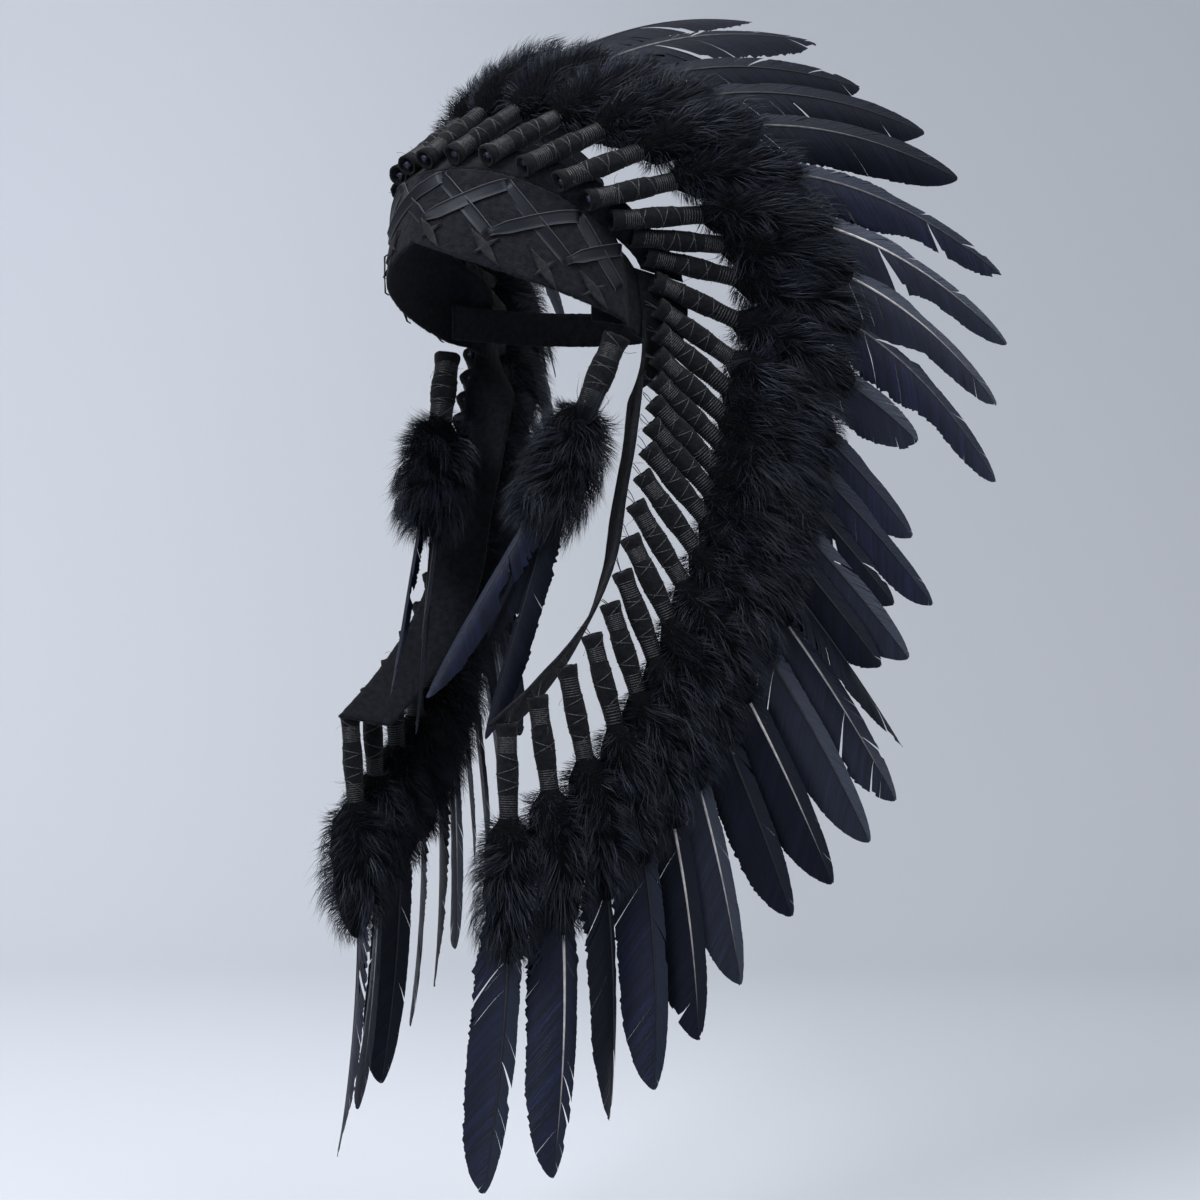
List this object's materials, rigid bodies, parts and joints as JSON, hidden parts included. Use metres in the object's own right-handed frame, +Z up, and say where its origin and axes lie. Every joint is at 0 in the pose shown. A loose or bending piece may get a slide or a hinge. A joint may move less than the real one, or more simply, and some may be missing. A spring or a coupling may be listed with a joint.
{
  "type": "feathered headdress",
  "caption": "War-bonnet style headdress: felt browband with crossed ribbon lacing, thread-wound quills with fur tufts and dark feathers, with long trailers and ear drops.",
  "frame": {"origin": "middle of the head opening, level with the ears, where the headdress sits on the head", "axes": "+X to the wearer's left, -Y to the front where the face looks out, +Z up"},
  "size_m": [0.4668, 0.3921, 0.8514],
  "materials": {
    "felt": "matt black wool felt",
    "ribbon": "smooth black satin ribbon",
    "plume": "black fur and blue-black feathers with a soft sheen"
  },
  "bodies": {
    "root": {"browband": "felt", "back_strap": "felt", "crown_strip": "felt", "trailer_strip_left": "felt", "trailer_strip_right": "felt", "ribbon_lacing": "ribbon", "ear_drop_left": "plume", "ear_drop_right": "plume", "plume_middle": "plume", "plume_left_01": "plume", "plume_left_02": "plume", "plume_left_03": "plume", "plume_left_04": "plume", "plume_left_05": "plume", "plume_left_06": "plume", "plume_left_07": "plume", "plume_left_08": "plume", "plume_left_09": "plume", "plume_left_10": "plume", "plume_left_11": "plume", "plume_left_12": "plume", "plume_left_13": "plume", "plume_left_14": "plume", "plume_left_15": "plume", "plume_left_16": "plume", "plume_left_17": "plume", "plume_left_18": "plume", "plume_left_19": "plume", "plume_left_20": "plume", "plume_left_21": "plume", "plume_left_22": "plume", "plume_left_23": "plume", "plume_left_24": "plume", "plume_left_25": "plume", "plume_right_01": "plume", "plume_right_02": "plume", "plume_right_03": "plume", "plume_right_04": "plume", "plume_right_05": "plume", "plume_right_06": "plume", "plume_right_07": "plume", "plume_right_08": "plume", "plume_right_09": "plume", "plume_right_10": "plume", "plume_right_11": "plume", "plume_right_12": "plume", "plume_right_13": "plume", "plume_right_14": "plume", "plume_right_15": "plume", "plume_right_16": "plume", "plume_right_17": "plume", "plume_right_18": "plume", "plume_right_19": "plume", "plume_right_20": "plume", "plume_right_21": "plume", "plume_right_22": "plume", "plume_right_23": "plume", "plume_right_24": "plume", "plume_right_25": "plume"}
  },
  "joints": []
}
